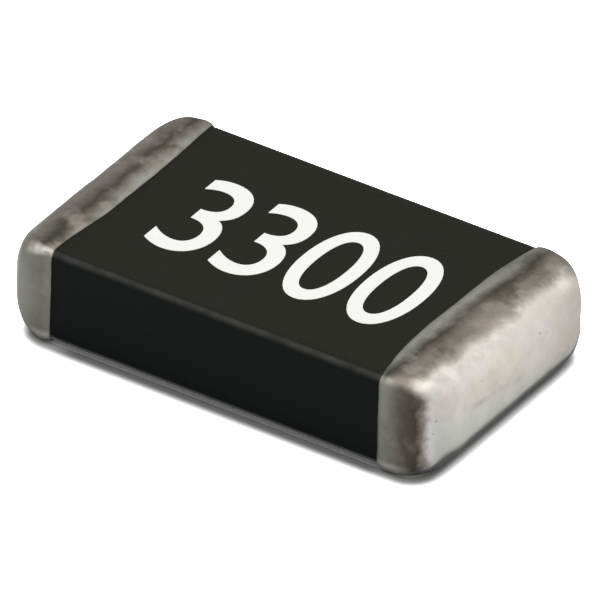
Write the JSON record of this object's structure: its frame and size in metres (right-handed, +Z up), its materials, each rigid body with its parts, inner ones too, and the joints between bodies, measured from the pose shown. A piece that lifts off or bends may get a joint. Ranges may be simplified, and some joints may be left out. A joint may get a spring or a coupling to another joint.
{
  "type": "smd ceramic capacitor",
  "caption": "Small flat rectangular multilayer chip capacitor with a black ceramic block, stacked inner electrodes and a wrapped tinned metal end on each side.",
  "frame": {"origin": "on the board plane under the chip's centre: the middle of the underside of the two metal ends", "axes": "+X along the chip from the left metal end to the right one, +Y across its width, +Z up from the board"},
  "size_m": [0.002, 0.0012, 0.0005],
  "materials": {
    "black_ceramic": "satin",
    "tin": "satin",
    "nickel": "satin",
    "copper": "matte",
    "electrode_nickel": "matte"
  },
  "bodies": {
    "root": {"ceramic_body": "black_ceramic", "copper_base_left": "copper", "copper_base_right": "copper", "nickel_barrier_left": "nickel", "nickel_barrier_right": "nickel", "tin_cap_left": "tin", "tin_cap_right": "tin", "inner_electrode_01": "electrode_nickel", "inner_electrode_02": "electrode_nickel", "inner_electrode_03": "electrode_nickel", "inner_electrode_04": "electrode_nickel", "inner_electrode_05": "electrode_nickel", "inner_electrode_06": "electrode_nickel", "inner_electrode_07": "electrode_nickel", "inner_electrode_08": "electrode_nickel", "inner_electrode_09": "electrode_nickel", "inner_electrode_10": "electrode_nickel", "inner_electrode_11": "electrode_nickel", "inner_electrode_12": "electrode_nickel", "inner_electrode_13": "electrode_nickel", "inner_electrode_14": "electrode_nickel", "inner_electrode_15": "electrode_nickel", "inner_electrode_16": "electrode_nickel"}
  },
  "joints": []
}
